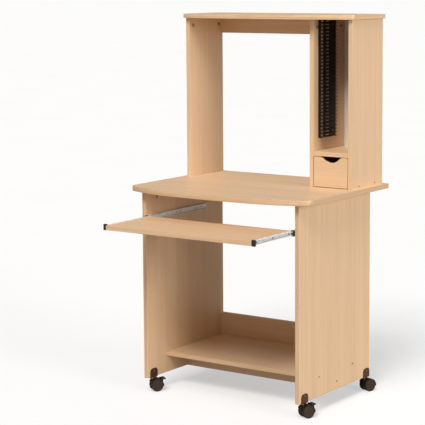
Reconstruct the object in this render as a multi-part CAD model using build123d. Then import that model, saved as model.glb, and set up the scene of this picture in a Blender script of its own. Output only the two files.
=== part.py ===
"""Computer desk with a keyboard tray: a flat-pack desk in 16 mm melamine board, on four casters.

Millimetres, +Z up, the user stands on the -Y side. The model is laid out with y = 0 at the front edge
of the lower side panels and z = 0 at the floor, and it is exported with its origin moved to the middle
of its footprint. The keyboard tray is pulled out, the drawer is shut.
"""

from build123d import *
import math
import os

# ---------------------------------------------------------------- driving sizes
# boards
board = 16.0
worktop_thickness = 18.0
total_height = 1400.0
caster_height = 56.0

# worktop and top shelf, each a plate with a bowed front
worktop_width = 774.0
worktop_top = 777.0
worktop_rear = 548.0
worktop_corner = -8.0
worktop_bow = 62.0
worktop_corner_radius = 40.0
top_shelf_width = 748.0
top_shelf_rear = 539.0
top_shelf_corner = 308.0
top_shelf_bow = 44.0
top_shelf_corner_radius = 14.0
bow_middle_share = 0.44
bow_middle_rise_share = 0.09

# lower frame
lower_width = 679.0
lower_depth = 493.0
shelf_top = 135.0
shelf_front = 120.0
kick_front = 249.0
rear_board_top = 221.0
rear_board_height = 102.0

# hutch
hutch_width = 729.0
hutch_front = 316.0
hutch_depth = 220.0
top_rail_height = 62.0

# compartment for discs, with a drawer under it
case_width = 142.0
case_clearance = 0.6
rack_base = 1.2
drawer_opening = 98.0
back_thickness = 3.0

# disc racks
rack_front = 349.0
rack_depth = 122.0
rack_top_gap = 2.0
rack_slots = 33
rack_pitch = 13.0
rack_fin = 1.2
rack_reach = 8.0
rack_windows = ((17.0, 18.0, 8.4), (52.0, 24.0, 5.0))
rack_screws = (43.0, 100.0)
rack_screw_slot = 1

# drawer
drawer_gap = 2.0
drawer_lift = 0.5
drawer_side = 12.0
drawer_side_height = 70.0
drawer_length = 190.0
drawer_bottom_thickness = 3.0
drawer_bottom_rise = 6.0
drawer_groove = 4.0
drawer_housing = 6.0
notch_width = 82.0
notch_depth = 21.0
notch_blend = 20.0
drawer_screw_heights = (22.0, 54.0)

# keyboard tray and its slides
tray_front = -250.0
tray_depth = 260.0
tray_top = 666.0
slide_thickness = 14.0
slide_height = 21.0
slide_wall = 1.4
slide_front = 1.0
slide_length = 380.0
slide_rise = 1.5
inner_rail_height = 18.0
inner_flange_height = 12.0
inner_rail_length = 325.0
inner_flange_tip = 4.0
outer_flange_tip = 9.2
ball = 2.5
cage_length = 70.0
cage_start = 8.0
cage_wall = 0.8
cage_strip = 1.3
balls_per_row = 4
ball_fit = 0.15
slide_clearance = 0.3
rail_holes = ((40.0, 62.0, 75.0), (185.0, 207.0, 220.0), (347.0, 303.0, 324.0))
rail_slot_length = 12.0
rail_slot_width = 4.0
upright_slot_length = 10.0
tray_rail_screws = (30.0, 130.0, 230.0)
cap_setback = 2.0
cap_start = 1.0
cap_depth = 9.0
cap_height = 22.0
cap_round = 1.5
stop_depth = 6.0
stop_gap = 0.4
travel_margin = 0.5

# casters
wheel_diameter = 45.0
wheel_width = 14.0
wheel_gap = 0.8
tyre_round = 2.5
tyre_inner_round = 1.0
wheel_rings = ((18.5, 17.0), (9.0, 7.5))
ring_depth = 0.8
web_width = 12.0
web_bottom = 10.0
trail = 16.0
axle_diameter = 6.0
axle_fit = 0.02
axle_cover = 4.0
axle_end_gap = 0.5
stem_diameter = 8.0
stem_bottom = 22.5
stem_neck = 10.4
stem_collar = 13.0
stem_collar_height = 2.2
stem_head = 12.0
stem_head_height = 2.5
swivel_gap = 0.4
running_gap = 0.05
hood_gap = 0.8
hood_wall = 1.8
hood_drop = 4.0
hood_trim = 3.6
socket_bottom = 17.0
socket_rise = 0.6
bracket_width = 44.0
bracket_height = 32.0
bracket_plate = 2.0
bracket_base = 2.5
bracket_round = 14.0
bracket_screw_drop = 9.0
front_caster = 36.0
rear_caster_inset = 24.0
caster_angles = {"front_left": 38.0, "front_right": 26.0, "rear_left": 20.0, "rear_right": 22.0}
braked = ("front_left", "front_right")
lever_stand = 5.5
lever_angle = 48.0
lever_barrel = 5.6
lever_width = 22.0
lever_side_gap = 1.2
lever_reach = 16.5
lever_hump = 5.4
lever_hump_share = 0.4
lever_tip = 1.0
lever_rise = 5.0
lever_press = 18.0
lever_lobe = 4.9
lever_lobe_thickness = 2.4
lever_pin = 3.0
lever_pin_overhang = 4.2
lever_window = 14.0
lug_radius = 4.2
lug_width = 3.5
lug_foot = 7.0

# fasteners
fastener_gap = 0.05
carcass_screw = {"shank": 5.0, "length": 50.0, "head": 7.0, "head_height": 2.0, "socket": 1.7,
                 "socket_depth": 1.6}
small_screw = {"shank": 3.0, "length": 11.0, "head": 6.0, "head_height": 1.2, "cross": (3.2, 0.8)}
cam_diameter = 15.0
cam_depth = 12.5
cam_distance = 28.0
cam_slot = (9.0, 1.6, 1.5)
cam_gap = 2.5
cam_bolt = {"shank": 6.0, "thread": 7.0, "grip": 11.0, "tip_gap": 3.0}
dowel_diameter = 8.0
dowel_length = 30.0
dowel_edge = 25.0
panel_cam_inset = 68.0
panel_dowel_inset = 110.0
shelf_screws = (15.0, 249.0)
kick_screw_height = 29.5
hutch_screw_inset = 30.0
case_fastener_inset = 53.0
top_rail_dowel_height = 18.0
back_screw_inset = 20.0
back_screws = 4

# ---------------------------------------------------------------- sizes that follow
worktop_under = worktop_top - worktop_thickness
top_shelf_under = total_height - board
lower_half = lower_width / 2
hutch_half = hutch_width / 2
hutch_rear = hutch_front + hutch_depth
compartment_width = case_width + case_clearance + 2 * rack_base
divider_right = hutch_half - board - compartment_width
divider_left = divider_right - board
compartment_left = divider_right
compartment_right = hutch_half - board
compartment_floor_top = worktop_top + board
compartment_shelf_under = compartment_floor_top + drawer_opening
rack_bottom = top_shelf_under - rack_top_gap - rack_slots * rack_pitch
hutch_cam_inset = board + cam_gap + cam_diameter / 2
panel_gap = lower_width - 2 * board
tray_width = panel_gap - 2 * slide_thickness
slide_mid = tray_top - board / 2 + slide_rise
floor_front = hutch_front + board + drawer_gap
stop_front = slide_front - stop_depth
tray_travel = stop_front - travel_margin - cap_depth - cap_setback - tray_front
rear_board_front = lower_depth - board
wheel_radius = wheel_diameter / 2
hood_inner = wheel_radius + hood_gap
hood_outer = hood_inner + hood_wall
lever_radius = wheel_radius + lever_stand
caster_width = web_width + 2 * (wheel_gap + wheel_width)
axle_half = caster_width / 2 - axle_cover
socket_top = wheel_radius + hood_outer + socket_rise
stem_top = caster_height + stem_head_height
y_middle = (tray_front + worktop_rear) / 2
side_names = {-1: "left", 1: "right"}

parts = {}
cutters = {}
fasteners = {}


# ---------------------------------------------------------------- helpers
def block(x, y, z):
    """A box from three (low, high) pairs."""
    middle = [(low + high) / 2 for low, high in (x, y, z)]
    size = [high - low for low, high in (x, y, z)]
    return Pos(*middle) * Box(*size)


def rod(radius, low, high):
    """A cylinder on the Z axis between two heights."""
    return Pos(0, 0, (low + high) / 2) * Cylinder(radius, high - low)


def aimed(point, direction):
    """The place of a piece whose own +Z points along direction from point."""
    return Plane(origin=point, z_dir=direction).location


def span(middle, width):
    """The low and high ends of a stretch about its middle."""
    return (middle - width / 2, middle + width / 2)


def group(pieces):
    """Separate solids that share one node."""
    return Compound([solid for piece in pieces for solid in piece.solids()])


def bowed_plate(width, corner, rear, bow, corner_radius, z):
    """A plate with straight sides and a front of three tangent arcs: one flat, two tighter ends."""
    half = width / 2
    middle_half = half * bow_middle_share
    rise = bow * bow_middle_rise_share
    front = corner - bow
    shoulder = (middle_half, front + rise)
    middle = ThreePointArc((-middle_half, front + rise), (0, front), shoulder)
    right_end = TangentArc(shoulder, (half, corner), tangent=middle % 1)
    left_end = mirror(right_end, Plane.YZ)
    sides = Polyline((half, corner), (half, rear), (-half, rear), (-half, corner))
    outline = make_face(Curve() + [middle, right_end, left_end, sides])
    plate = extrude(Pos(0, 0, z[0]) * outline, z[1] - z[0])
    corners = plate.edges().filter_by(Axis.Z).filter_by(lambda e: abs(e.center().Y - corner) < 1e-3)
    return fillet(corners, corner_radius)


# ---------------------------------------------------------------- fasteners
def carcass_screw_shape(gap=0.0):
    """A countersunk screw with a hexagon socket, its head level with the board's face."""
    s = carcass_screw
    cone = Cone(s["head"] / 2 + gap, s["shank"] / 2 + gap, s["head_height"])
    shank = rod(s["shank"] / 2 + gap, s["head_height"], s["length"] + gap * 10)
    shape = Pos(0, 0, s["head_height"] / 2) * cone + shank
    if gap:
        return shape
    return shape - extrude(RegularPolygon(s["socket"], 6), s["socket_depth"])


def small_screw_shape(gap=0.0):
    """A low round-headed screw, its head standing on the face at z = 0."""
    shape = sunk_screw_shape(small_screw["length"], gap)
    if gap:
        return shape
    length, width = small_screw["cross"]
    top = small_screw["head_height"]
    for angle in (0, 90):
        shape -= Rot(0, 0, angle) * block(span(0, length), span(0, width), (-top, -top / 2))
    return shape


def sunk_screw_shape(length, gap):
    """A small plain-headed screw of another length, its head standing on the face at z = 0."""
    head = rod(small_screw["head"] / 2 + gap, -small_screw["head_height"], 0)
    return head + rod(small_screw["shank"] / 2 + gap, 0, length + gap * 10)


def drawer_screw_shape(gap=0.0):
    """A screw long enough to go through a drawer side into the back."""
    return sunk_screw_shape(small_screw["length"] + drawer_side, gap)


def bracket_screw_shape(gap=0.0):
    """A screw so short that the two that meet in a panel stay apart."""
    return sunk_screw_shape(board / 2 + bracket_plate - 1, gap)


def dowel_shape(gap=0.0):
    """A dowel set a third of its length into a board's face and the rest into the other board's end."""
    face_depth = dowel_length / 3
    return rod(dowel_diameter / 2 + gap, face_depth - dowel_length - gap * 10, face_depth + gap * 10)


def cam_bolt_shape(gap=0.0):
    """A bolt that is threaded into one board at z = 0 and held by the cam in the other."""
    b = cam_bolt
    thread = rod(b["thread"] / 2 + gap, 0, b["grip"] + gap * 10)
    return thread + rod(b["shank"] / 2 + gap, b["tip_gap"] - cam_distance, 0)


def cam_shape(gap=0.0):
    """A cam lock, its face level with the board's face, with a cross slot for the driver."""
    shape = rod(cam_diameter / 2 + gap, 0, cam_depth + gap * 10)
    if gap:
        return shape
    for angle in (45, 135):
        length, width, depth = cam_slot
        shape -= Rot(0, 0, angle) * block(span(0, length), span(0, width), (0, depth))
    return shape


def fasten(group, shape, point, direction, *boards):
    """Puts one fastener in its group and its hole in each board that it passes through."""
    spot = aimed(point, direction)
    fasteners.setdefault(group, []).append(spot * shape())
    for name in boards:
        cutters.setdefault(name, []).append(spot * shape(fastener_gap))


def cam_joint(panel, mate, face, side, y, edge, up):
    """A cam in a panel's face and its bolt through the panel's edge into the mating board.

    face is the x of the panel's face that shows the cam, side the way from that face into the panel,
    edge the height of the panel's edge, and up is 1 if the mating board lies above that edge."""
    centre = face + side * board / 2
    bolt_spot = aimed((centre, y, edge), (0, 0, up))
    cam_spot = aimed((face, y, edge - up * cam_distance), (side, 0, 0))
    cam = cam_spot * cam_shape() - bolt_spot * cam_bolt_shape(slide_clearance)
    fasteners.setdefault("cam_fittings", []).extend([bolt_spot * cam_bolt_shape(), cam])
    for name in (panel, mate):
        cutters.setdefault(name, []).append(bolt_spot * cam_bolt_shape(fastener_gap))
    cutters.setdefault(panel, []).append(cam_spot * cam_shape(fastener_gap))


# ---------------------------------------------------------------- carcass boards
def carcass():
    """The fourteen boards that stand still."""
    parts["worktop"] = bowed_plate(worktop_width, worktop_corner, worktop_rear, worktop_bow,
                                   worktop_corner_radius, (worktop_under, worktop_top))
    parts["top_shelf"] = bowed_plate(top_shelf_width, top_shelf_corner, top_shelf_rear, top_shelf_bow,
                                     top_shelf_corner_radius, (top_shelf_under, total_height))
    for side, word in side_names.items():
        inner, outer = sorted((side * (lower_half - board), side * lower_half))
        parts[f"lower_side_{word}"] = block((inner, outer), (0, lower_depth),
                                            (caster_height, worktop_under))
        inner, outer = sorted((side * (hutch_half - board), side * hutch_half))
        parts[f"hutch_side_{word}"] = block((inner, outer), (hutch_front, hutch_rear),
                                            (worktop_top, top_shelf_under))
    between = (board - lower_half, lower_half - board)
    shelf_under = shelf_top - board
    parts["bottom_shelf"] = block(between, (shelf_front, rear_board_front), (shelf_under, shelf_top))
    parts["kick_rail"] = block(between, (kick_front, kick_front + board), (caster_height, shelf_under))
    parts["rear_board"] = block(between, (rear_board_front, lower_depth),
                                (rear_board_top - rear_board_height, rear_board_top))
    parts["hutch_divider"] = block((divider_left, divider_right), (hutch_front, hutch_rear),
                                   (worktop_top, top_shelf_under))
    parts["hutch_top_rail"] = block((board - hutch_half, divider_left), (hutch_rear - board, hutch_rear),
                                    (top_shelf_under - top_rail_height, top_shelf_under))
    bay = (compartment_left, compartment_right)
    parts["compartment_floor"] = block(bay, (floor_front, hutch_rear), (worktop_top, compartment_floor_top))
    parts["compartment_shelf"] = block(bay, (hutch_front, hutch_rear),
                                       (compartment_shelf_under, compartment_shelf_under + board))
    parts["compartment_back"] = block((divider_left, hutch_half), (hutch_rear, hutch_rear + back_thickness),
                                      (worktop_top, top_shelf_under))


def carcass_fasteners():
    """Cams and dowels under the two plates, screws through the panels, and dowels at the hidden ends."""
    shelf_mid = shelf_top - board / 2
    floor_mid = worktop_top + board / 2
    compartment_shelf_mid = compartment_shelf_under + board / 2
    for side, word in side_names.items():
        panel = f"lower_side_{word}"
        inner = side * (lower_half - board)
        outer = side * lower_half
        middle = inner + side * board / 2
        for y in (panel_cam_inset, lower_depth - panel_cam_inset):
            cam_joint(panel, "worktop", inner, side, y, worktop_under, 1)
        for y in (panel_dowel_inset, lower_depth - panel_dowel_inset):
            fasten("dowels", dowel_shape, (middle, y, worktop_under), (0, 0, 1), panel, "worktop")
        for offset in shelf_screws:
            point = (outer, shelf_front + offset, shelf_mid)
            fasten("carcass_screws", carcass_screw_shape, point, (-side, 0, 0), panel, "bottom_shelf")
        point = (outer, kick_front + board / 2, caster_height + kick_screw_height)
        fasten("carcass_screws", carcass_screw_shape, point, (-side, 0, 0), panel, "kick_rail")
        for z in (rear_board_top - dowel_edge, rear_board_top - rear_board_height + dowel_edge):
            point = (inner, rear_board_front + board / 2, z)
            fasten("dowels", dowel_shape, point, (side, 0, 0), panel, "rear_board")
    for x in (-panel_gap / 3, 0.0, panel_gap / 3):
        point = (x, lower_depth, shelf_mid)
        fasten("carcass_screws", carcass_screw_shape, point, (0, -1, 0), "rear_board", "bottom_shelf")
    hutch_panels = (("hutch_side_left", board - hutch_half, -1), ("hutch_divider", divider_right, -1),
                    ("hutch_side_right", hutch_half - board, 1))
    for name, face, side in hutch_panels:
        middle = face + side * board / 2
        for y in (hutch_front + hutch_cam_inset, hutch_rear - hutch_cam_inset):
            cam_joint(name, "top_shelf", face, side, y, top_shelf_under, 1)
        point = (middle, (hutch_front + hutch_rear) / 2, top_shelf_under)
        fasten("dowels", dowel_shape, point, (0, 0, 1), name, "top_shelf")
        for y in (hutch_front + hutch_screw_inset, hutch_rear - hutch_screw_inset):
            point = (middle, y, worktop_under)
            fasten("carcass_screws", carcass_screw_shape, point, (0, 0, 1), "worktop", name)
    case_walls = (("hutch_divider", divider_left, compartment_left, -1),
                  ("hutch_side_right", hutch_half, compartment_right, 1))
    for y in (hutch_front + case_fastener_inset, hutch_rear - case_fastener_inset):
        for name, outside, inside, side in case_walls:
            point = (outside, y, floor_mid)
            fasten("carcass_screws", carcass_screw_shape, point, (-side, 0, 0), name, "compartment_floor")
            point = (inside, y, compartment_shelf_mid)
            fasten("dowels", dowel_shape, point, (side, 0, 0), name, "compartment_shelf")
    back_low = worktop_top + back_screw_inset
    back_step = (top_shelf_under - back_screw_inset - back_low) / (back_screws - 1)
    for step in range(back_screws):
        for name, _, inside, side in case_walls:
            point = (inside + side * board / 2, hutch_rear + back_thickness, back_low + step * back_step)
            fasten("fixing_screws", small_screw_shape, point, (0, -1, 0), "compartment_back", name)
    rail_ends = (("hutch_side_left", board - hutch_half, -1), ("hutch_divider", divider_left, 1))
    for name, face, side in rail_ends:
        point = (face, hutch_rear - board / 2, top_shelf_under - top_rail_height + top_rail_dowel_height)
        fasten("dowels", dowel_shape, point, (side, 0, 0), name, "hutch_top_rail")


# ---------------------------------------------------------------- drawer
def drawer():
    """A box with housed sides, a grooved-in bottom and an inset front with a finger notch."""
    low = compartment_left + drawer_gap
    high = compartment_right - drawer_gap
    floor = compartment_floor_top + drawer_lift
    front = (hutch_front, hutch_front + board)
    top = compartment_shelf_under - drawer_gap
    face = block((low, high), front, (worktop_top + drawer_gap, top))
    middle = (low + high) / 2
    radius = (notch_width ** 2 / 4 + notch_depth ** 2) / (2 * notch_depth)
    scoop = Rot(90, 0, 0) * Cylinder(radius, 2 * board)
    face -= Pos(middle, sum(front) / 2, top - notch_depth + radius) * scoop
    shoulders = face.edges().filter_by(Axis.Y).filter_by(
        lambda e: abs(e.center().Z - top) < 1e-3 and abs(e.center().X - middle) < notch_width / 2 + 1)
    face = fillet(shoulders, notch_blend)
    side_start = front[1] - drawer_housing
    side_end = side_start + drawer_length
    walls = (floor, floor + drawer_side_height)
    bottom_z = (floor + drawer_bottom_rise, floor + drawer_bottom_rise + drawer_bottom_thickness)
    back_y = (side_end - drawer_side, side_end)
    inside = (low + drawer_side, high - drawer_side)
    bottom = block((inside[0] - drawer_groove, inside[1] + drawer_groove),
                   (front[1] - drawer_groove, back_y[0] + drawer_groove), bottom_z)
    sides = {"left": block((low, inside[0]), (side_start, side_end), walls),
             "right": block((inside[1], high), (side_start, side_end), walls)}
    back = block(inside, back_y, walls)
    for word, wall in sides.items():
        face -= wall
        parts[f"drawer_side_{word}"] = wall - bottom
    parts["drawer_front"] = face - bottom
    parts["drawer_back"] = back - bottom
    parts["drawer_bottom"] = bottom
    for word, x, direction in (("left", low, 1), ("right", high, -1)):
        for height in drawer_screw_heights:
            point = (x + direction * small_screw["head_height"], sum(back_y) / 2, floor + height)
            fasten("drawer_screws", drawer_screw_shape, point, (direction, 0, 0), f"drawer_side_{word}",
                   "drawer_back")


# ---------------------------------------------------------------- disc racks
def disc_rack(side):
    """A moulded strip on a wall of the compartment: a thin windowed base with one fin for each disc."""
    wall = compartment_left if side < 0 else compartment_right
    inward = -side
    depth = (rack_front, rack_front + rack_depth)
    height = rack_slots * rack_pitch
    base = block(sorted((wall, wall + inward * rack_base)), depth, (rack_bottom, rack_bottom + height))
    windows = []
    fins = []
    for slot in range(rack_slots):
        low = rack_bottom + slot * rack_pitch
        middle = low + (rack_pitch + rack_fin) / 2
        for start, width, window_height in rack_windows:
            hole_y = (rack_front + start, rack_front + start + width)
            windows.append(block(span(wall, 4 * rack_base), hole_y, span(middle, window_height)))
        reach = sorted((wall, wall + inward * (rack_base + rack_reach)))
        fins.append(block(reach, depth, (low, low + rack_fin)))
    return base - windows + fins


def disc_racks():
    """Both racks and the screws that hold them."""
    for side, word in side_names.items():
        name = f"cd_rack_{word}"
        parts[name] = disc_rack(side)
        wall = compartment_left if side < 0 else compartment_right
        board_name = "hutch_divider" if side < 0 else "hutch_side_right"
        for slot in (rack_screw_slot, rack_slots - 1 - rack_screw_slot):
            z = rack_bottom + slot * rack_pitch + (rack_pitch + rack_fin) / 2
            for offset in rack_screws:
                point = (wall - side * rack_base, rack_front + offset, z)
                fasten("fixing_screws", small_screw_shape, point, (side, 0, 0), name, board_name)


# ---------------------------------------------------------------- keyboard tray and slides
def keyboard_tray():
    """The tray board, the two slides that carry it, and their screws."""
    parts["keyboard_tray"] = block(span(0, tray_width), (tray_front, tray_front + tray_depth),
                                   (tray_top - board, tray_top))
    stops = []
    for side, word in side_names.items():
        for name, shape in slide_pieces().items():
            parts[f"{name}_{word}"] = side_of_desk(shape, side)
        stops.append(side_of_desk(slide_stop(), side))
        for screw, _, _ in rail_holes:
            point = (side * (lower_half - board - slide_wall), slide_front + screw, slide_mid)
            fasten("fixing_screws", small_screw_shape, point, (side, 0, 0), f"slide_outer_{word}",
                   f"lower_side_{word}")
        for screw in tray_rail_screws:
            point = (side * (tray_width / 2 + slide_wall), tray_front + screw, slide_mid)
            fasten("tray_screws", small_screw_shape, point, (-side, 0, 0), f"slide_inner_{word}",
                   "keyboard_tray")
    parts["slide_stops"] = group(stops)


def side_of_desk(shape, side):
    """Takes a slide piece, drawn from the panel's face at x = 0 towards the tray, to its own side."""
    turned = mirror(shape, Plane.YZ) if side > 0 else shape
    return Pos(side * (lower_half - board), 0, slide_mid) * turned


def channel(web, tip, height, length, wall):
    """A channel along +Y: its web spans the two given x, its flanges end at x = tip."""
    half = height / 2
    far = sorted((web[0], web[1], tip))
    outside = block((far[0], far[2]), (0, length), (-half, half))
    hollow_x = (web[1], far[2]) if tip > web[1] else (far[0], web[0])
    return outside - block(hollow_x, (0, length), (wall - half, half - wall))


def inner_profile(length, gap=0.0):
    """The tray's rail: a flat web against the tray's edge with a narrower channel standing on it."""
    web = (slide_thickness - slide_wall, slide_thickness)
    flanges = channel(web, inner_flange_tip, inner_flange_height, length, slide_wall)
    plate = block((web[0] - gap, web[1]), (0, length), span(0, inner_rail_height + 2 * gap))
    if gap:
        hull = block((inner_flange_tip - gap, web[1]), (0, length), span(0, inner_flange_height + 2 * gap))
        return plate + hull
    return plate + flanges


def rail_slot(y, length, turn):
    """A round-ended slot through a web near x = 0, along the rail or turned upright."""
    outline = Plane.YZ * Pos(y, 0, 0) * SlotOverall(length, rail_slot_width, rotation=turn)
    return extrude(outline, 2 * slide_wall, both=True)


def slide_pieces():
    """One slide: panel rail, ball cage, tray rail and its end cap, from the panel at x = 0 inwards."""
    outer = channel((0, slide_wall), outer_flange_tip, slide_height, slide_length, slide_wall)
    for _, level_slot, upright_slot in rail_holes:
        outer -= rail_slot(level_slot, rail_slot_length, 0)
        outer -= rail_slot(upright_slot, upright_slot_length, 90)
    inner = inner_profile(inner_rail_length)
    row = (slide_height / 2 - slide_wall + inner_flange_height / 2) / 2
    web = (inner_flange_tip - slide_clearance - cage_wall, inner_flange_tip - slide_clearance)
    ball_x = (inner_flange_tip + outer_flange_tip) / 2
    cage = block(web, (0, cage_length), span(0, 2 * row + cage_strip))
    cage_pieces = []
    for level in (-row, row):
        strip = block((web[0], outer_flange_tip), (0, cage_length), span(level, cage_strip))
        cage += strip
    for level in (-row, row):
        for n in range(balls_per_row):
            y = cage_length * (n + 0.5) / balls_per_row
            cage -= Pos(ball_x, y, level) * rod(ball / 2 + ball_fit, -cage_strip, cage_strip)
            cage_pieces.append(Pos(ball_x, y, level) * Sphere(ball / 2))
    rail_start = tray_front + cap_setback + cap_depth
    cap = block((cap_start, slide_thickness), (0, cap_depth), span(0, cap_height))
    cap = fillet(cap.edges().filter_by(Axis.X) + cap.edges().filter_by(Axis.Z), cap_round)
    return {
        "slide_outer": Pos(0, slide_front, 0) * outer,
        "slide_ball_cage": Pos(0, cage_start, 0) * group([cage, *cage_pieces]),
        "slide_inner": Pos(0, rail_start, 0) * inner,
        "slide_end_cap": Pos(0, tray_front + cap_setback, 0) * cap,
    }


def slide_stop():
    """The plastic collar at the mouth of the panel's rail, around the tray's rail."""
    width = slide_thickness - slide_wall - stop_gap
    collar = block((0, width), (stop_front, slide_front), span(0, slide_height))
    return collar - Pos(0, stop_front, 0) * inner_profile(stop_depth, stop_gap)


# ---------------------------------------------------------------- casters
def caster_place(name):
    """Where a caster's swivel axis meets the floor, turned so that its trail lies along its angle."""
    side = -1 if name.endswith("left") else 1
    y = front_caster if name.startswith("front") else lower_depth - rear_caster_inset
    return Pos(side * (lower_half - board / 2), y, 0) * Rot(0, 0, -caster_angles[name])


def along_x(radius, low, high):
    """A cylinder on the X axis between two x."""
    return Rot(0, 90, 0) * rod(radius, low, high)


def lever_pivot():
    """The brake lever's pin, as (y, z) in the caster's own frame."""
    angle = math.radians(lever_angle)
    return (trail + lever_radius * math.cos(angle), wheel_radius + lever_radius * math.sin(angle))


def lug_stretches():
    """The two x stretches of the lugs that hold the lever's pin."""
    near = lever_width / 2 + lever_side_gap
    return ((near, near + lug_width), (-near - lug_width, -near))


def caster_housing(with_brake):
    """The hooded body between and over the wheels, with the stem's socket in front of the axle."""
    axle_place = Pos(0, trail, wheel_radius)
    half = caster_width / 2
    top = wheel_radius + hood_outer
    hood = axle_place * (along_x(hood_outer, -half, half) - along_x(hood_inner, -half, half))
    hood = hood & block((-half, half), (trail - hood_outer + hood_trim, trail + hood_outer),
                        (wheel_radius - hood_drop, top))
    web = axle_place * along_x(hood_outer, -web_width / 2, web_width / 2)
    web = web & block((-half, half), (trail - hood_outer, trail + hood_outer), (web_bottom, top))
    body = hood + web + rod(web_width / 2, socket_bottom, socket_top)
    if with_brake:
        y, z = lever_pivot()
        window = Box(lever_width + 2 * lever_side_gap, lever_window, lever_window)
        body -= Pos(0, y, z) * Rot(lever_angle, 0, 0) * window
        inside_hood = axle_place * along_x(hood_inner, -half, half)
        for stretch in lug_stretches():
            foot = block(stretch, (y - lug_radius, y + lug_radius), (z - lug_foot, z))
            body += Pos(0, y, z) * along_x(lug_radius, *stretch) + (foot - inside_hood)
        body -= Pos(0, y, z) * along_x(lever_pin / 2 + running_gap, -half, half)
    body -= rod(stem_diameter / 2 + running_gap, stem_bottom - axle_end_gap, socket_top + 1)
    body -= axle_place * along_x(axle_diameter / 2 + axle_fit, -half, half)
    return body


def caster_wheel(side):
    """One wheel: rounded rim, two shallow rings in its outer face, blind bore for the axle."""
    inner = web_width / 2 + wheel_gap
    outer = inner + wheel_width
    tyre = along_x(wheel_radius, inner, outer)
    tyre = fillet(tyre.edges().filter_by(GeomType.CIRCLE).group_by(Axis.X)[-1], tyre_round)
    tyre = fillet(tyre.edges().filter_by(GeomType.CIRCLE).group_by(Axis.X)[0], tyre_inner_round)
    for big, small in wheel_rings:
        tyre -= along_x(big, outer - ring_depth, outer + 1) - along_x(small, outer - ring_depth, outer + 1)
    tyre -= along_x(axle_diameter / 2 + running_gap, inner - 1, axle_half + axle_end_gap)
    placed = Pos(0, trail, wheel_radius) * tyre
    return placed if side > 0 else mirror(placed, Plane.YZ)


def brake_lever():
    """A humped pedal on a pin: pressed down, a corner of its lobe turns towards the treads."""
    y, z = lever_pivot()
    half = lever_width / 2
    barrel = along_x(lever_barrel / 2, -half, half)
    pin = along_x(lever_pin / 2, -half - lever_pin_overhang, half + lever_pin_overhang)
    root = lever_barrel / 2
    top = ThreePointArc((0, root), (lever_reach * lever_hump_share, lever_hump), (lever_reach, lever_tip))
    under = Polyline((lever_reach, lever_tip), (lever_reach, 0), (0, -root), (0, root))
    profile = Plane.YZ * make_face(Curve() + [top, under])
    pedal = Rot(lever_rise, 0, 0) * extrude(profile, half, both=True)
    lobe = block((-half, half), (0, lever_lobe), span(0, lever_lobe_thickness))
    corner_angle = math.degrees(math.atan2(lever_lobe_thickness / 2, lever_lobe))
    lobe = Rot(lever_angle + 180 + lever_press + corner_angle, 0, 0) * lobe
    return Pos(0, y, z) * (barrel + pin + pedal + lobe)


def caster_bracket():
    """A U of steel that straddles the panel's bottom edge."""
    outer = board + 2 * bracket_plate
    top = caster_height + bracket_height
    shape = block(span(0, outer), span(0, bracket_width), (caster_height - bracket_base, top))
    shape = fillet(shape.edges().filter_by(Axis.X).group_by(Axis.Z)[-1], bracket_round)
    shape -= block(span(0, board), span(0, bracket_width + 2), (caster_height, top + 1))
    return shape - rod(stem_diameter / 2 + fastener_gap, 0, caster_height + 1)


def caster_stem():
    """The swivel pin: shank in the housing, neck and collar under the bracket, riveted head above."""
    under_bracket = caster_height - bracket_base
    shank = rod(stem_diameter / 2, stem_bottom, stem_top)
    neck = rod(stem_neck / 2, socket_top + swivel_gap, under_bracket)
    collar = rod(stem_collar / 2, under_bracket - stem_collar_height, under_bracket)
    return shank + neck + collar + rod(stem_head / 2, caster_height, stem_top)


def casters():
    """Four casters, each with a bracket, housing, axle and two wheels; the front two also brake."""
    stems = []
    for name in caster_angles:
        spot = caster_place(name)
        panel = "lower_side_left" if name.endswith("left") else "lower_side_right"
        upright = Pos(*spot.position)
        axle = Pos(0, trail, wheel_radius) * along_x(axle_diameter / 2, -axle_half, axle_half)
        parts[f"caster_bracket_{name}"] = upright * caster_bracket()
        parts[f"caster_housing_{name}"] = spot * caster_housing(name in braked)
        parts[f"caster_axle_{name}"] = spot * axle
        for wheel_side, word in side_names.items():
            parts[f"caster_wheel_{name}_{word}"] = spot * caster_wheel(wheel_side)
        if name in braked:
            parts[f"brake_lever_{name}"] = spot * brake_lever()
        stems.append(upright * caster_stem())
        head_room = rod(stem_head / 2 + fastener_gap, caster_height - 1, stem_top + axle_end_gap)
        cutters.setdefault(panel, []).append(upright * head_room)
        for direction in (-1, 1):
            point = (spot.position.X - direction * (board / 2 + bracket_plate), spot.position.Y,
                     caster_height + bracket_height - bracket_screw_drop)
            fasten("fixing_screws", bracket_screw_shape, point, (direction, 0, 0), f"caster_bracket_{name}",
                   panel)
    parts["caster_stems"] = group(stems)


# ---------------------------------------------------------------- build and export
def build():
    """Fills parts with every sub-part, its fastener holes cut, in the exported frame."""
    carcass()
    carcass_fasteners()
    drawer()
    disc_racks()
    keyboard_tray()
    casters()
    for name, tools in cutters.items():
        parts[name] = parts[name] - tools
    for name, pieces in fasteners.items():
        parts[name] = group(pieces)
    for name in parts:
        parts[name] = Pos(0, -y_middle, 0) * parts[name]


build()
os.makedirs("parts", exist_ok=True)
for part_name, part_shape in parts.items():
    export_step(part_shape, f"parts/{part_name}.step")
print(len(parts), "sub-parts")
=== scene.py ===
"""Looks of the computer desk with a keyboard tray.

Every CAD node stays as it is and gets its finish: beech melamine on the boards, zinc on the slides,
nylon on the casters and racks, painted steel on the brackets.
"""

import bpy
import math
from mathutils import Matrix, Vector


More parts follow.
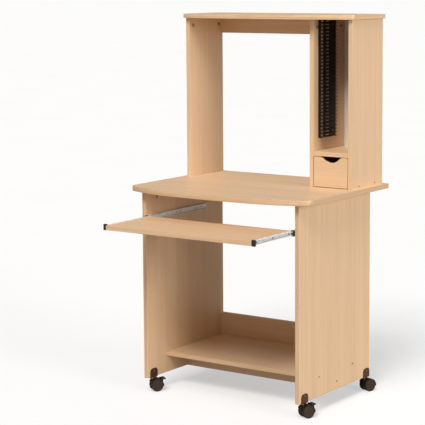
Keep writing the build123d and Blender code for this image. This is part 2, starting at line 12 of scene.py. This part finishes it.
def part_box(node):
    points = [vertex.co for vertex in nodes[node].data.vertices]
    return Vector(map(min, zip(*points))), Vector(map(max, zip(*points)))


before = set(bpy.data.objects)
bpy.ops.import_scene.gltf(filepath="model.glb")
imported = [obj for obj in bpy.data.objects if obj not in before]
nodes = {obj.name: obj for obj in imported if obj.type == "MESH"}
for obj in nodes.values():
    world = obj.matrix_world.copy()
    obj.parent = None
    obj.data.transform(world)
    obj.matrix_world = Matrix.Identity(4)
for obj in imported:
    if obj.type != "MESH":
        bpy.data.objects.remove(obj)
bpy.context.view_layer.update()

# ---------------------------------------------------------------- camera and light
# Angles in degrees, distances in metres, lens and sensor in millimetres, shift in sensor widths.
CAMERA = {"azimuth": 34.59, "pitch": 6.99, "roll": -0.33, "distance": 5.7357,
          "target": (-0.0741, 0.051, 0.8327), "lens": 132.209, "sensor": 36.0,
          "shift": (-0.0468235, -0.1), "clip_end": 500}
# Each sun's azimuth (0 is in front of the desk, positive to its right), elevation and width in degrees.
SUNS = {"key": {"azimuth": 12, "elevation": 51, "width": 24, "strength": 2.8, "colour": (1.0, 0.985, 0.96)},
        "side": {"azimuth": 80, "elevation": 10, "width": 30, "strength": 2.05, "colour": (1.0, 0.99, 0.98)}}
WORLD_COLOUR = (1.0, 0.995, 0.985, 1)
WORLD_STRENGTH = 0.26
FLOOR_HALF_SIDE = 200.0


def make_camera():
    """A long lens at the photograph's angle, with a small shift for its framing."""
    azimuth, pitch, roll = (math.radians(CAMERA[k]) for k in ("azimuth", "pitch", "roll"))
    forward = Vector((-math.sin(azimuth) * math.cos(pitch),
                      math.cos(azimuth) * math.cos(pitch),
                      -math.sin(pitch)))
    right = Vector((math.cos(azimuth), math.sin(azimuth), 0))
    up = right.cross(forward)
    turned_right = right * math.cos(roll) + up * math.sin(roll)
    turned_up = -right * math.sin(roll) + up * math.cos(roll)
    data = bpy.data.cameras.new("camera")
    data.sensor_width = CAMERA["sensor"]
    data.lens = CAMERA["lens"]
    data.shift_x, data.shift_y = CAMERA["shift"]
    data.clip_end = CAMERA["clip_end"]
    camera = bpy.data.objects.new("camera", data)
    axes = Matrix((turned_right, turned_up, -forward)).transposed().to_4x4()
    axes.translation = Vector(CAMERA["target"]) - forward * CAMERA["distance"]
    camera.matrix_world = axes
    bpy.context.scene.collection.objects.link(camera)
    bpy.context.scene.camera = camera


def make_sun(name, azimuth, elevation, width, strength, colour):
    """A soft sun that shines from the given side."""
    a, e = math.radians(azimuth), math.radians(elevation)
    toward = Vector((math.sin(a) * math.cos(e), -math.cos(a) * math.cos(e), math.sin(e)))
    data = bpy.data.lights.new(name, "SUN")
    data.energy = strength
    data.angle = math.radians(width)
    data.color = colour
    light = bpy.data.objects.new(name, data)
    light.rotation_mode = "QUATERNION"
    light.rotation_quaternion = toward.to_track_quat("Z", "Y")
    bpy.context.scene.collection.objects.link(light)


def make_floor():
    """A wide white floor, which belongs to the stage."""
    mesh = bpy.data.meshes.new("floor")
    corners = [(x * FLOOR_HALF_SIDE, y * FLOOR_HALF_SIDE, 0) for x, y in ((-1, -1), (1, -1), (1, 1), (-1, 1))]
    mesh.from_pydata(corners, [], [(0, 1, 2, 3)])
    floor = bpy.data.objects.new("floor", mesh)
    bpy.context.scene.collection.objects.link(floor)
    floor.data.materials.append(floor_material())


def make_studio():
    """A white world, two soft suns and a white floor."""
    world = bpy.data.worlds.new("studio")
    world.use_nodes = True
    background = world.node_tree.nodes["Background"]
    background.inputs["Color"].default_value = WORLD_COLOUR
    background.inputs["Strength"].default_value = WORLD_STRENGTH
    bpy.context.scene.world = world
    for name, sun in SUNS.items():
        make_sun(name, **sun)
    bpy.context.scene.view_settings.view_transform = "Standard"
    make_floor()


# ---------------------------------------------------------------- node helpers
class Shader:
    """A material under construction: short calls that add a node and return its output."""

    def __init__(self, name):
        self.material = bpy.data.materials.new(name)
        self.material.use_nodes = True
        self.tree = self.material.node_tree
        self.bsdf = self.tree.nodes["Principled BSDF"]

    def add(self, kind, **settings):
        node = self.tree.nodes.new(kind)
        for key, value in settings.items():
            setattr(node, key, value)
        return node

    def join(self, source, socket):
        """Links an output to the socket, or sets the socket to a constant."""
        if isinstance(source, bpy.types.NodeSocket):
            self.tree.links.new(source, socket)
        else:
            socket.default_value = source

    def set(self, **values):
        """Joins values to the shader's own sockets, named with underscores for spaces."""
        for key, value in values.items():
            self.join(value, self.bsdf.inputs[key.replace("_", " ")])

    def coordinates(self, kind):
        """Object-space position ("Object") or direction of the surface ("Normal")."""
        return self.add("ShaderNodeTexCoord").outputs[kind]

    def place(self, scale, offset=(0, 0, 0)):
        """Object coordinates, stretched and then shifted; one number stretches all three axes."""
        mapping = self.add("ShaderNodeMapping")
        self.join(self.coordinates("Object"), mapping.inputs["Vector"])
        mapping.inputs["Location"].default_value = offset
        mapping.inputs["Scale"].default_value = scale if isinstance(scale, (tuple, list)) else (scale,) * 3
        return mapping.outputs["Vector"]

    def split(self, vector):
        """The three components of a vector."""
        node = self.add("ShaderNodeSeparateXYZ")
        self.join(vector, node.inputs[0])
        return node.outputs

    def noise(self, vector, detail, rough=0.5):
        node = self.add("ShaderNodeTexNoise")
        self.join(vector, node.inputs["Vector"])
        node.inputs["Scale"].default_value = 1.0
        node.inputs["Detail"].default_value = detail
        node.inputs["Roughness"].default_value = rough
        return node.outputs["Fac"]

    def ramp(self, value, low=0.35, high=0.65):
        """Value stretched so that low becomes 0 and high 1; as given, they are a noise's usual ends."""
        node = self.add("ShaderNodeMapRange", clamp=True)
        self.join(value, node.inputs["Value"])
        node.inputs["From Min"].default_value = low
        node.inputs["From Max"].default_value = high
        return node.outputs["Result"]

    def math(self, operation, a, b=0.0):
        node = self.add("ShaderNodeMath", operation=operation)
        self.join(a, node.inputs[0])
        self.join(b, node.inputs[1])
        return node.outputs[0]

    def times(self, a, b):
        return self.math("MULTIPLY", a, b)

    def plus(self, a, b):
        return self.math("ADD", a, b)

    def mix(self, factor, a, b):
        """Colour a where factor is 0 and colour b where it is 1."""
        node = self.add("ShaderNodeMix", data_type="RGBA")
        self.join(factor, node.inputs["Factor"])
        self.join(a, node.inputs["A"])
        self.join(b, node.inputs["B"])
        return node.outputs["Result"]

    def bump(self, height, strength, distance):
        node = self.add("ShaderNodeBump")
        node.inputs["Strength"].default_value = strength
        node.inputs["Distance"].default_value = distance
        self.join(height, node.inputs["Height"])
        self.join(node.outputs["Normal"], self.bsdf.inputs["Normal"])


def rgb(r, g, b):
    return (r, g, b, 1.0)


def lit(colour, factor, lift=0.0):
    """The colour made brighter or darker by a factor, and then lifted."""
    return rgb(*(channel * factor + lift for channel in colour[:3]))


# ---------------------------------------------------------------- stage material
FLOOR_PALE = rgb(0.95, 0.95, 0.95)
FLOOR_PALER = rgb(0.97, 0.97, 0.97)
FLOOR_BOUNCE = rgb(0.40, 0.38, 0.35)
FLOOR_GLOW_COLOUR = rgb(0.97, 0.97, 0.975)
FLOOR_GLOW = 0.5
FLOOR_CLOUD = 1.5
FLOOR_ROUGHNESS = 0.9


def floor_material():
    """A stage floor that looks almost white, half of it by its own glow, and throws back less light."""
    s = Shader("studio_floor")
    tone = s.ramp(s.noise(s.place(FLOOR_CLOUD), detail=2))
    seen = s.mix(tone, FLOOR_PALE, FLOOR_PALER)
    direct = s.add("ShaderNodeLightPath").outputs["Is Camera Ray"]
    s.set(Base_Color=s.mix(direct, FLOOR_BOUNCE, seen), Roughness=FLOOR_ROUGHNESS)
    glow = s.add("ShaderNodeEmission")
    glow.inputs["Color"].default_value = FLOOR_GLOW_COLOUR
    blend = s.add("ShaderNodeMixShader")
    s.join(s.times(direct, FLOOR_GLOW), blend.inputs["Fac"])
    s.join(s.bsdf.outputs["BSDF"], blend.inputs[1])
    s.join(glow.outputs[0], blend.inputs[2])
    s.join(blend.outputs[0], s.tree.nodes["Material Output"].inputs["Surface"])
    return s.material


# ---------------------------------------------------------------- board material
AXES = {"X": 0, "Y": 1, "Z": 2}
BEECH_LIGHT = rgb(0.790, 0.556, 0.348)
BEECH_DARK = rgb(0.670, 0.446, 0.260)
BEECH_PINK = rgb(0.740, 0.490, 0.312)
BAND_LIGHT = rgb(0.780, 0.535, 0.330)
BAND_DARK = rgb(0.680, 0.440, 0.250)
# Brightness of the edge band where it isn't the same as the face's: partly the band's own darker tone and
# partly painted shade, standing in for the shade these edges get under the worktop and shelves.
EDGE_TONE_AND_SHADE = {"worktop": 0.86, "keyboard_tray": 0.92, "bottom_shelf": 0.93,
             "lower_side_left": 0.86, "lower_side_right": 0.86}
# Scale of each layer of the printed grain, along and across it, per metre.
BROAD_GRAIN = (0.5, 16)
MEDIUM_GRAIN = (1.6, 75)
FIBRE_GRAIN = (9, 420)
FLECK_GRAIN = (70, 900)
# Share of each layer in the tone, and of the pink and the flecks in the colour.
BROAD_SHARE, MEDIUM_SHARE, FIBRE_SHARE = 0.40, 0.34, 0.26
PINK_SHARE = 0.45
FLECK_SHARE = 0.35
# From where to where the summed noise turns from dark to light, from plain to pink and from plain to flecked.
TONE_RANGE = (0.37, 0.63)
PINK_RANGE = (0.8, 1.2)
FLECK_RANGE = (0.66, 0.74)
CLOUD_SCALE = 2.2
# The edge band: fine lines that run with the board, and a darker seam just inside each face, in metres.
BAND_SCALE_ALONG, BAND_SCALE_ACROSS = 3.0, 260.0
SEAM_FROM, SEAM_TO = 0.0009, 0.0005
SEAM_SHARE = 0.30
BOARD_ROUGHNESS = 0.36
BOARD_ROUGHNESS_SPREAD = 0.12
BOARD_FLECK_DEPTH = 0.4
BOARD_BUMP = (0.25, 0.00012)
# How squarely a point must look along the board's thickness to count as its face: none below, all above.
FACE_RANGE = (0.55, 0.75)
# The pattern moves by this much from one board to the next, so that no two boards show the same grain.
SEED_STEP = (3.71, 5.13, 2.37)


def printed_face(s, axis, shift):
    """The face's colour, with the height of its fibres and flecks, for grain along the axis."""
    def layer(scales, detail, rough=0.5):
        scale = [scales[1]] * 3
        scale[axis] = scales[0]
        return s.noise(s.place(scale, shift), detail, rough)

    cloud = s.noise(s.place(CLOUD_SCALE, shift), detail=1)
    broad = layer(BROAD_GRAIN, detail=2)
    medium = layer(MEDIUM_GRAIN, detail=2)
    fibre = layer(FIBRE_GRAIN, detail=3, rough=0.6)
    fleck = s.ramp(layer(FLECK_GRAIN, detail=1), *FLECK_RANGE)
    coarse = s.plus(s.times(broad, BROAD_SHARE), s.times(medium, MEDIUM_SHARE))
    tone = s.ramp(s.plus(coarse, s.times(fibre, FIBRE_SHARE)), *TONE_RANGE)
    pink = s.ramp(s.plus(cloud, broad), *PINK_RANGE)
    face = s.mix(tone, BEECH_DARK, BEECH_LIGHT)
    face = s.mix(s.times(pink, PINK_SHARE), face, BEECH_PINK)
    face = s.mix(s.times(fleck, FLECK_SHARE), face, BEECH_DARK)
    return face, fibre, fleck


def edge_band(s, node, thin, middle, thickness, shift):
    """The edge band's colour on a board whose thickness lies along the thin axis."""
    scale = [BAND_SCALE_ALONG] * 3
    scale[thin] = BAND_SCALE_ACROSS
    lines = s.ramp(s.noise(s.place(scale, shift), detail=2))
    # On the boards listed above, the band is darkened: partly its own tone, partly painted shade.
    tone = EDGE_TONE_AND_SHADE.get(node, 1.0)
    band = s.mix(lines, lit(BAND_DARK, tone), lit(BAND_LIGHT, tone))
    off = s.math("ABSOLUTE", s.math("SUBTRACT", s.split(s.coordinates("Object"))[thin], middle))
    seam = s.ramp(off, thickness / 2 - SEAM_FROM, thickness / 2 - SEAM_TO)
    return s.mix(s.times(seam, SEAM_SHARE), band, BEECH_DARK)


def beech(node, grain, seed):
    """Beech melamine for one board: grain printed along one axis of its faces, a band on its edges."""
    s = Shader("beech_" + node)
    low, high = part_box(node)
    size = [high[i] - low[i] for i in range(3)]
    thin = size.index(min(size))
    shift = tuple(seed * step for step in SEED_STEP)
    face, fibre, fleck = printed_face(s, AXES[grain], shift)
    band = edge_band(s, node, thin, (low[thin] + high[thin]) / 2, size[thin], shift)
    on_face = s.ramp(s.math("ABSOLUTE", s.split(s.coordinates("Normal"))[thin]), *FACE_RANGE)
    s.set(Base_Color=s.mix(on_face, band, face))
    s.set(Roughness=s.plus(s.times(fibre, BOARD_ROUGHNESS_SPREAD), BOARD_ROUGHNESS))
    s.bump(s.math("SUBTRACT", s.times(fibre, on_face), s.times(fleck, BOARD_FLECK_DEPTH)), *BOARD_BUMP)
    return s.material


# ---------------------------------------------------------------- metal, plastic and hardboard
# Scales of the patterns, per metre.
LINES_ALONG, LINES_ACROSS = 14.0, 900.0
PLATING_CLOUD = 45
PLASTIC_SPARK = 1400.0
PLASTIC_DUST = 60
PAINT_PEEL = 700
PAINT_WEAR = 120
HARDBOARD_CLOUD = 9
HARDBOARD_PORES = 600
DOWEL_GRAIN = (60, 500, 500)
# Strength and height of each bump, in metres.
METAL_BUMP = (0.2, 0.00008)
PLASTIC_BUMP = (0.25, 0.0001)
PAINT_BUMP = (0.3, 0.0001)
HARDBOARD_BUMP = (0.2, 0.0001)
DOWEL_BUMP = (0.3, 0.0002)
# How bright the dark, dusty or worn part is against the rest.
PLATING_DARKEST = 0.76
DUST_TONE, DUST_LIFT = 1.5, 0.004
WEAR_TONE = 1.9
PLASTIC_SHINE = 0.3
PAINT_METALLIC = 0.25
HARDBOARD_DARK = rgb(0.72, 0.65, 0.57)
HARDBOARD_LIGHT = rgb(0.80, 0.73, 0.65)
DOWEL_DARK = rgb(0.62, 0.43, 0.25)
DOWEL_LIGHT = rgb(0.78, 0.6, 0.4)


def plated_metal(name, colour, roughness, streak_axis, seed, metallic=1.0):
    """Plated or drawn metal with fine lines along one axis and a faint cloudiness of the plating."""
    s = Shader(name)
    scale = [LINES_ACROSS] * 3
    scale[AXES[streak_axis]] = LINES_ALONG
    lines = s.noise(s.place(scale, (seed, seed, seed)), detail=2)
    cloud = s.noise(s.place(PLATING_CLOUD, (seed, 0, seed)), detail=3)
    tone = s.ramp(s.plus(s.times(lines, 0.4), s.times(cloud, 0.6)))
    s.set(Base_Color=s.mix(tone, lit(colour, PLATING_DARKEST), rgb(*colour)), Metallic=metallic)
    s.set(Roughness=s.plus(s.times(lines, 0.22), roughness - 0.08))
    s.bump(lines, *METAL_BUMP)
    return s.material


def moulded_plastic(name, colour, roughness):
    """Dark nylon or polystyrene with the fine spark texture of its mould and a little dust."""
    s = Shader(name)
    spark = s.noise(s.place(PLASTIC_SPARK), detail=2)
    dust = s.ramp(s.noise(s.place(PLASTIC_DUST), detail=4, rough=0.6), 0.5, 0.75)
    s.set(Base_Color=s.mix(s.times(dust, 0.5), rgb(*colour), lit(colour, DUST_TONE, DUST_LIFT)))
    s.set(Roughness=s.plus(s.times(spark, 0.15), roughness - 0.07), Specular_IOR_Level=PLASTIC_SHINE)
    s.bump(spark, *PLASTIC_BUMP)
    return s.material


def painted_steel(name, colour):
    """Powder coat: orange-peel bump, and thin wear that lets a warmer tone through."""
    s = Shader(name)
    peel = s.noise(s.place(PAINT_PEEL), detail=2)
    wear = s.ramp(s.noise(s.place(PAINT_WEAR), detail=4, rough=0.7), 0.55, 0.72)
    s.set(Base_Color=s.mix(s.times(wear, 0.4), rgb(*colour), lit(colour, WEAR_TONE)))
    s.set(Roughness=s.plus(s.times(wear, 0.15), 0.38), Metallic=PAINT_METALLIC)
    s.bump(peel, *PAINT_BUMP)
    return s.material


def pale_hardboard(name):
    """Thin hardboard with a pale painted face, a little uneven."""
    s = Shader(name)
    cloud = s.ramp(s.noise(s.place(HARDBOARD_CLOUD), detail=3))
    pores = s.noise(s.place(HARDBOARD_PORES), detail=2)
    s.set(Base_Color=s.mix(cloud, HARDBOARD_DARK, HARDBOARD_LIGHT), Roughness=0.6)
    s.bump(pores, *HARDBOARD_BUMP)
    return s.material


def raw_dowel(name):
    """Plain turned beech."""
    s = Shader(name)
    grain = s.noise(s.place(DOWEL_GRAIN), detail=3)
    s.set(Base_Color=s.mix(grain, DOWEL_DARK, DOWEL_LIGHT), Roughness=0.7)
    s.bump(grain, *DOWEL_BUMP)
    return s.material


# ---------------------------------------------------------------- dressing the CAD nodes
# The boards, by the axis that their grain follows.
UPRIGHT = ("lower_side_left", "lower_side_right", "hutch_side_left", "hutch_side_right", "hutch_divider")
LEVEL = ("worktop", "top_shelf", "bottom_shelf", "kick_rail", "rear_board", "hutch_top_rail",
         "compartment_shelf", "compartment_floor", "keyboard_tray", "drawer_front", "drawer_back",
         "drawer_bottom")
FRONT_TO_BACK = ("drawer_side_left", "drawer_side_right")
# Distances in metres, angles in degrees.
WELD_DISTANCE = 0.00001
FLAT_ANGLE = 0.3
EDGE_RADIUS = 0.0006
EDGE_SEGMENTS = 2
SHARP_ANGLE = 40


def dress(node, material):
    """Gives a CAD node its finish, keeping its slots."""
    for slot in nodes[node].material_slots:
        slot.material = material


def round_edges(node):
    """Joins the node's split corners, makes each flat face one face and rolls the sharp edges."""
    weld = nodes[node].modifiers.new("weld", "WELD")
    weld.merge_threshold = WELD_DISTANCE
    flat = nodes[node].modifiers.new("whole faces", "DECIMATE")
    flat.decimate_type = "DISSOLVE"
    flat.angle_limit = math.radians(FLAT_ANGLE)
    bevel = nodes[node].modifiers.new("rolled edges", "BEVEL")
    bevel.width = EDGE_RADIUS
    bevel.segments = EDGE_SEGMENTS
    bevel.limit_method = "ANGLE"
    bevel.angle_limit = math.radians(SHARP_ANGLE)
    bevel.use_clamp_overlap = False
    bevel.harden_normals = True


def dress_boards():
    """One beech for each board, and a pale face for the compartment's back."""
    seed = 1.0
    for grain, names in (("Z", UPRIGHT), ("X", LEVEL), ("Y", FRONT_TO_BACK)):
        for name in names:
            dress(name, beech(name, grain, seed))
            round_edges(name)
            seed += 1.0
    dress("compartment_back", pale_hardboard("back_board"))


def dress_hardware():
    """Slides, racks, casters and fasteners, each found by the start of its node's name."""
    zinc = plated_metal("zinc_rail", (0.84, 0.83, 0.81), 0.36, "Y", 2.0, metallic=0.3)
    cage = plated_metal("zinc_cage", (0.55, 0.55, 0.56), 0.3, "Y", 5.0)
    pin = plated_metal("turned_steel", (0.62, 0.61, 0.6), 0.3, "X", 7.0)
    screw = plated_metal("screw_zinc", (0.42, 0.34, 0.24), 0.35, "X", 9.0)
    cam = plated_metal("cam_zinc", (0.46, 0.38, 0.28), 0.45, "Z", 11.0, metallic=0.6)
    rack = moulded_plastic("rack_black", (0.022, 0.017, 0.014), 0.5)
    cap = moulded_plastic("cap_black", (0.022, 0.018, 0.016), 0.45)
    wheel = moulded_plastic("wheel_nylon", (0.034, 0.017, 0.009), 0.45)
    hood = moulded_plastic("hood_nylon", (0.016, 0.010, 0.007), 0.45)
    lever = moulded_plastic("lever_nylon", (0.009, 0.007, 0.006), 0.45)
    bracket = painted_steel("bracket_paint", (0.088, 0.032, 0.010))
    finishes = (("slide_outer", zinc), ("slide_inner", zinc), ("slide_ball_cage", cage),
                ("slide_end_cap", cap), ("slide_stops", cap), ("cd_rack", rack),
                ("caster_bracket", bracket), ("caster_housing", hood), ("caster_axle", pin),
                ("caster_stems", pin), ("caster_wheel", wheel), ("brake_lever", lever),
                ("carcass_screws", screw), ("tray_screws", screw), ("drawer_screws", screw),
                ("fixing_screws", screw), ("cam_fittings", cam), ("dowels", raw_dowel("dowel_beech")))
    for start, material in finishes:
        for name in nodes:
            if name.startswith(start):
                dress(name, material)


make_camera()
make_studio()
dress_boards()
dress_hardware()
bare = [name for name, node in nodes.items()
        if not node.material_slots or not node.material_slots[0].material]
assert not bare, bare
